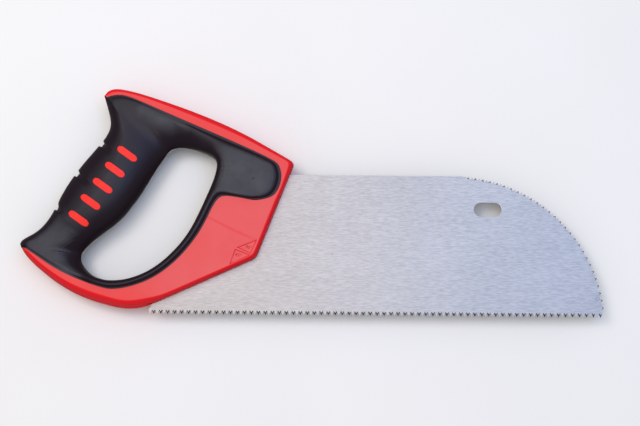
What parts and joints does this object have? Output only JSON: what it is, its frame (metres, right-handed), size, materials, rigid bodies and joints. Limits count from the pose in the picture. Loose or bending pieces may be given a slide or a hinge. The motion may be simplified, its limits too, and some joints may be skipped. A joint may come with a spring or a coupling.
{
  "type": "floorboard saw",
  "caption": "Hand saw for floorboards with a steel blade toothed along its straight edge and round nose, a hang slot, and a closed handle with a soft overmoulded grip.",
  "frame": {"origin": "middle of the saw's box in X and Y, on the lowest point of the soft grip, with the saw on its side", "axes": "+X from the handle to the toe along the tooth line, +Y from the teeth to the back of the blade, +Z square to the blade"},
  "size_m": [0.421, 0.1644, 0.029],
  "materials": {
    "blade_steel": "satin, brushed along the blade",
    "red_plastic": "moulded, slightly glossy",
    "black_rubber": "soft matte moulding"
  },
  "bodies": {
    "root": {"blade": "blade_steel", "handle_core": "red_plastic", "soft_grip": "black_rubber"}
  },
  "joints": []
}
